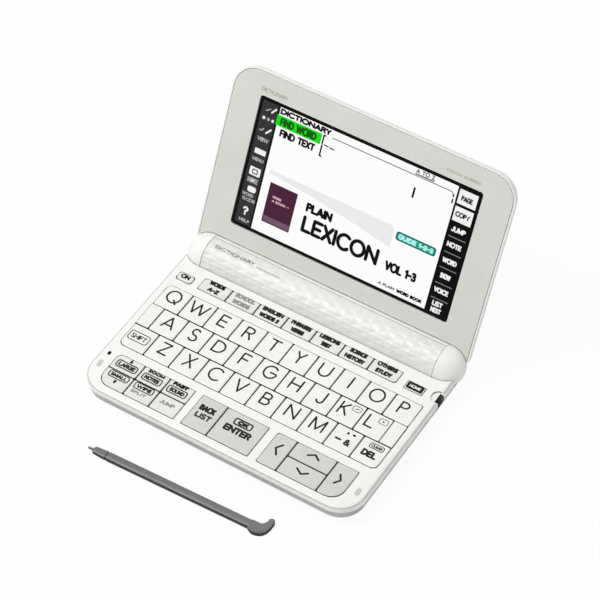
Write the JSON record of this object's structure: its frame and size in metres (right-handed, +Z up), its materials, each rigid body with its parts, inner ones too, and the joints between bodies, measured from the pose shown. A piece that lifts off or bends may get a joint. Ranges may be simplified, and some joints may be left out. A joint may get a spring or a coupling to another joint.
{
  "type": "electronic dictionary",
  "caption": "Folding pocket electronic dictionary with a keyboard base, a colour touch display in a lid on a barrel hinge, and a loose stylus.",
  "frame": {"origin": "middle of the rectangle that the open dictionary and its stylus cover on the table, at table height", "axes": "+X to the right along the hinge, +Y from the front edge back to the hinge, +Z up from the table"},
  "size_m": [0.148, 0.1686, 0.0963],
  "materials": {
    "white_shell": "fine satin",
    "key_white": "satin, printed legends",
    "key_grey": "satin, printed legends",
    "case_grey": "fine texture",
    "barrel_pearl": "pearl, quilted relief",
    "bezel_grey": "satin",
    "display_glass": "clear film over a lit display",
    "stylus_grey": "satin",
    "board_green": "solder mask",
    "cell_sleeve": "printed sleeve"
  },
  "bodies": {
    "base": {"base_top_cover": "white_shell", "base_bottom_case": "case_grey", "hinge_barrel": "barrel_pearl", "battery_cells": "cell_sleeve", "circuit_board": "board_green"},
    "lid": {"lid_back_cover": "white_shell", "lid_bezel": "bezel_grey", "display_panel": "display_glass"},
    "battery_cover": {"battery_cover": "case_grey"},
    "stylus": {"stylus": "stylus_grey"},
    "key_q": {"key_q": "key_white"},
    "key_w": {"key_w": "key_white"},
    "key_e": {"key_e": "key_white"},
    "key_r": {"key_r": "key_white"},
    "key_t": {"key_t": "key_white"},
    "key_y": {"key_y": "key_white"},
    "key_u": {"key_u": "key_white"},
    "key_i": {"key_i": "key_white"},
    "key_o": {"key_o": "key_white"},
    "key_p": {"key_p": "key_white"},
    "key_a": {"key_a": "key_white"},
    "key_s": {"key_s": "key_white"},
    "key_d": {"key_d": "key_white"},
    "key_f": {"key_f": "key_white"},
    "key_g": {"key_g": "key_white"},
    "key_h": {"key_h": "key_white"},
    "key_j": {"key_j": "key_white"},
    "key_k": {"key_k": "key_white"},
    "key_l": {"key_l": "key_white"},
    "key_shift": {"key_shift": "key_white"},
    "key_z": {"key_z": "key_white"},
    "key_x": {"key_x": "key_white"},
    "key_c": {"key_c": "key_white"},
    "key_v": {"key_v": "key_white"},
    "key_b": {"key_b": "key_white"},
    "key_n": {"key_n": "key_white"},
    "key_m": {"key_m": "key_white"},
    "key_symbol": {"key_symbol": "key_white"},
    "key_delete": {"key_delete": "key_white"},
    "key_left_1": {"key_left_1": "key_white"},
    "key_left_2": {"key_left_2": "key_white"},
    "key_left_3": {"key_left_3": "key_white"},
    "key_left_4": {"key_left_4": "key_white"},
    "key_left_5": {"key_left_5": "key_white"},
    "key_left_6": {"key_left_6": "key_white"},
    "key_list": {"key_list": "key_grey"},
    "key_enter": {"key_enter": "key_grey"},
    "key_cursor_left": {"key_cursor_left": "key_grey"},
    "key_cursor_up": {"key_cursor_up": "key_grey"},
    "key_cursor_down": {"key_cursor_down": "key_grey"},
    "key_cursor_right": {"key_cursor_right": "key_grey"},
    "key_power": {"key_power": "key_white"},
    "key_mode": {"key_mode": "key_white"},
    "key_function_1": {"key_function_1": "key_white"},
    "key_function_2": {"key_function_2": "key_white"},
    "key_function_3": {"key_function_3": "key_white"},
    "key_function_4": {"key_function_4": "key_white"},
    "key_function_5": {"key_function_5": "key_white"},
    "key_function_6": {"key_function_6": "key_white"},
    "key_function_7": {"key_function_7": "key_white"}
  },
  "joints": [
    {"name": "lid_hinge", "type": "hinge", "parent": "base", "child": "lid", "pos_m": [0, 0.03665, 0.0102], "axis": [-1, 0, 0], "range_deg": [-115.7, 34.3]},
    {"name": "battery_cover_slide", "type": "slide", "parent": "base", "child": "battery_cover", "axis": [0, 1, 0], "range_m": [0, 0.03]},
    {"name": "stylus_lift", "type": "slide", "parent": "base", "child": "stylus", "axis": [0, 0, 1], "range_m": [0, 0.08]},
    {"name": "key_q_press", "type": "slide", "parent": "base", "child": "key_q", "axis": [0, 0, 1], "range_m": [-0.0008, 0], "stiffness_N_per_m": 300},
    {"name": "key_w_press", "type": "slide", "parent": "base", "child": "key_w", "axis": [0, 0, 1], "range_m": [-0.0008, 0], "stiffness_N_per_m": 300},
    {"name": "key_e_press", "type": "slide", "parent": "base", "child": "key_e", "axis": [0, 0, 1], "range_m": [-0.0008, 0], "stiffness_N_per_m": 300},
    {"name": "key_r_press", "type": "slide", "parent": "base", "child": "key_r", "axis": [0, 0, 1], "range_m": [-0.0008, 0], "stiffness_N_per_m": 300},
    {"name": "key_t_press", "type": "slide", "parent": "base", "child": "key_t", "axis": [0, 0, 1], "range_m": [-0.0008, 0], "stiffness_N_per_m": 300},
    {"name": "key_y_press", "type": "slide", "parent": "base", "child": "key_y", "axis": [0, 0, 1], "range_m": [-0.0008, 0], "stiffness_N_per_m": 300},
    {"name": "key_u_press", "type": "slide", "parent": "base", "child": "key_u", "axis": [0, 0, 1], "range_m": [-0.0008, 0], "stiffness_N_per_m": 300},
    {"name": "key_i_press", "type": "slide", "parent": "base", "child": "key_i", "axis": [0, 0, 1], "range_m": [-0.0008, 0], "stiffness_N_per_m": 300},
    {"name": "key_o_press", "type": "slide", "parent": "base", "child": "key_o", "axis": [0, 0, 1], "range_m": [-0.0008, 0], "stiffness_N_per_m": 300},
    {"name": "key_p_press", "type": "slide", "parent": "base", "child": "key_p", "axis": [0, 0, 1], "range_m": [-0.0008, 0], "stiffness_N_per_m": 300},
    {"name": "key_a_press", "type": "slide", "parent": "base", "child": "key_a", "axis": [0, 0, 1], "range_m": [-0.0008, 0], "stiffness_N_per_m": 300},
    {"name": "key_s_press", "type": "slide", "parent": "base", "child": "key_s", "axis": [0, 0, 1], "range_m": [-0.0008, 0], "stiffness_N_per_m": 300},
    {"name": "key_d_press", "type": "slide", "parent": "base", "child": "key_d", "axis": [0, 0, 1], "range_m": [-0.0008, 0], "stiffness_N_per_m": 300},
    {"name": "key_f_press", "type": "slide", "parent": "base", "child": "key_f", "axis": [0, 0, 1], "range_m": [-0.0008, 0], "stiffness_N_per_m": 300},
    {"name": "key_g_press", "type": "slide", "parent": "base", "child": "key_g", "axis": [0, 0, 1], "range_m": [-0.0008, 0], "stiffness_N_per_m": 300},
    {"name": "key_h_press", "type": "slide", "parent": "base", "child": "key_h", "axis": [0, 0, 1], "range_m": [-0.0008, 0], "stiffness_N_per_m": 300},
    {"name": "key_j_press", "type": "slide", "parent": "base", "child": "key_j", "axis": [0, 0, 1], "range_m": [-0.0008, 0], "stiffness_N_per_m": 300},
    {"name": "key_k_press", "type": "slide", "parent": "base", "child": "key_k", "axis": [0, 0, 1], "range_m": [-0.0008, 0], "stiffness_N_per_m": 300},
    {"name": "key_l_press", "type": "slide", "parent": "base", "child": "key_l", "axis": [0, 0, 1], "range_m": [-0.0008, 0], "stiffness_N_per_m": 300},
    {"name": "key_shift_press", "type": "slide", "parent": "base", "child": "key_shift", "axis": [0, 0, 1], "range_m": [-0.0008, 0], "stiffness_N_per_m": 300},
    {"name": "key_z_press", "type": "slide", "parent": "base", "child": "key_z", "axis": [0, 0, 1], "range_m": [-0.0008, 0], "stiffness_N_per_m": 300},
    {"name": "key_x_press", "type": "slide", "parent": "base", "child": "key_x", "axis": [0, 0, 1], "range_m": [-0.0008, 0], "stiffness_N_per_m": 300},
    {"name": "key_c_press", "type": "slide", "parent": "base", "child": "key_c", "axis": [0, 0, 1], "range_m": [-0.0008, 0], "stiffness_N_per_m": 300},
    {"name": "key_v_press", "type": "slide", "parent": "base", "child": "key_v", "axis": [0, 0, 1], "range_m": [-0.0008, 0], "stiffness_N_per_m": 300},
    {"name": "key_b_press", "type": "slide", "parent": "base", "child": "key_b", "axis": [0, 0, 1], "range_m": [-0.0008, 0], "stiffness_N_per_m": 300},
    {"name": "key_n_press", "type": "slide", "parent": "base", "child": "key_n", "axis": [0, 0, 1], "range_m": [-0.0008, 0], "stiffness_N_per_m": 300},
    {"name": "key_m_press", "type": "slide", "parent": "base", "child": "key_m", "axis": [0, 0, 1], "range_m": [-0.0008, 0], "stiffness_N_per_m": 300},
    {"name": "key_symbol_press", "type": "slide", "parent": "base", "child": "key_symbol", "axis": [0, 0, 1], "range_m": [-0.0008, 0], "stiffness_N_per_m": 300},
    {"name": "key_delete_press", "type": "slide", "parent": "base", "child": "key_delete", "axis": [0, 0, 1], "range_m": [-0.0008, 0], "stiffness_N_per_m": 300},
    {"name": "key_left_1_press", "type": "slide", "parent": "base", "child": "key_left_1", "axis": [0, 0, 1], "range_m": [-0.0008, 0], "stiffness_N_per_m": 300},
    {"name": "key_left_2_press", "type": "slide", "parent": "base", "child": "key_left_2", "axis": [0, 0, 1], "range_m": [-0.0008, 0], "stiffness_N_per_m": 300},
    {"name": "key_left_3_press", "type": "slide", "parent": "base", "child": "key_left_3", "axis": [0, 0, 1], "range_m": [-0.0008, 0], "stiffness_N_per_m": 300},
    {"name": "key_left_4_press", "type": "slide", "parent": "base", "child": "key_left_4", "axis": [0, 0, 1], "range_m": [-0.0008, 0], "stiffness_N_per_m": 300},
    {"name": "key_left_5_press", "type": "slide", "parent": "base", "child": "key_left_5", "axis": [0, 0, 1], "range_m": [-0.0008, 0], "stiffness_N_per_m": 300},
    {"name": "key_left_6_press", "type": "slide", "parent": "base", "child": "key_left_6", "axis": [0, 0, 1], "range_m": [-0.0008, 0], "stiffness_N_per_m": 300},
    {"name": "key_list_press", "type": "slide", "parent": "base", "child": "key_list", "axis": [0, 0, 1], "range_m": [-0.0008, 0], "stiffness_N_per_m": 300},
    {"name": "key_enter_press", "type": "slide", "parent": "base", "child": "key_enter", "axis": [0, 0, 1], "range_m": [-0.0008, 0], "stiffness_N_per_m": 300},
    {"name": "key_cursor_left_press", "type": "slide", "parent": "base", "child": "key_cursor_left", "axis": [0, 0, 1], "range_m": [-0.0008, 0], "stiffness_N_per_m": 300},
    {"name": "key_cursor_up_press", "type": "slide", "parent": "base", "child": "key_cursor_up", "axis": [0, 0, 1], "range_m": [-0.0008, 0], "stiffness_N_per_m": 300},
    {"name": "key_cursor_down_press", "type": "slide", "parent": "base", "child": "key_cursor_down", "axis": [0, 0, 1], "range_m": [-0.0008, 0], "stiffness_N_per_m": 300},
    {"name": "key_cursor_right_press", "type": "slide", "parent": "base", "child": "key_cursor_right", "axis": [0, 0, 1], "range_m": [-0.0008, 0], "stiffness_N_per_m": 300},
    {"name": "key_power_press", "type": "slide", "parent": "base", "child": "key_power", "axis": [0, 0, 1], "range_m": [-0.0006, 0], "stiffness_N_per_m": 300},
    {"name": "key_mode_press", "type": "slide", "parent": "base", "child": "key_mode", "axis": [0, 0, 1], "range_m": [-0.0006, 0], "stiffness_N_per_m": 300},
    {"name": "key_function_1_press", "type": "slide", "parent": "base", "child": "key_function_1", "axis": [0, 0, 1], "range_m": [-0.0006, 0], "stiffness_N_per_m": 300},
    {"name": "key_function_2_press", "type": "slide", "parent": "base", "child": "key_function_2", "axis": [0, 0, 1], "range_m": [-0.0006, 0], "stiffness_N_per_m": 300},
    {"name": "key_function_3_press", "type": "slide", "parent": "base", "child": "key_function_3", "axis": [0, 0, 1], "range_m": [-0.0006, 0], "stiffness_N_per_m": 300},
    {"name": "key_function_4_press", "type": "slide", "parent": "base", "child": "key_function_4", "axis": [0, 0, 1], "range_m": [-0.0006, 0], "stiffness_N_per_m": 300},
    {"name": "key_function_5_press", "type": "slide", "parent": "base", "child": "key_function_5", "axis": [0, 0, 1], "range_m": [-0.0006, 0], "stiffness_N_per_m": 300},
    {"name": "key_function_6_press", "type": "slide", "parent": "base", "child": "key_function_6", "axis": [0, 0, 1], "range_m": [-0.0006, 0], "stiffness_N_per_m": 300},
    {"name": "key_function_7_press", "type": "slide", "parent": "base", "child": "key_function_7", "axis": [0, 0, 1], "range_m": [-0.0006, 0], "stiffness_N_per_m": 300}
  ]
}
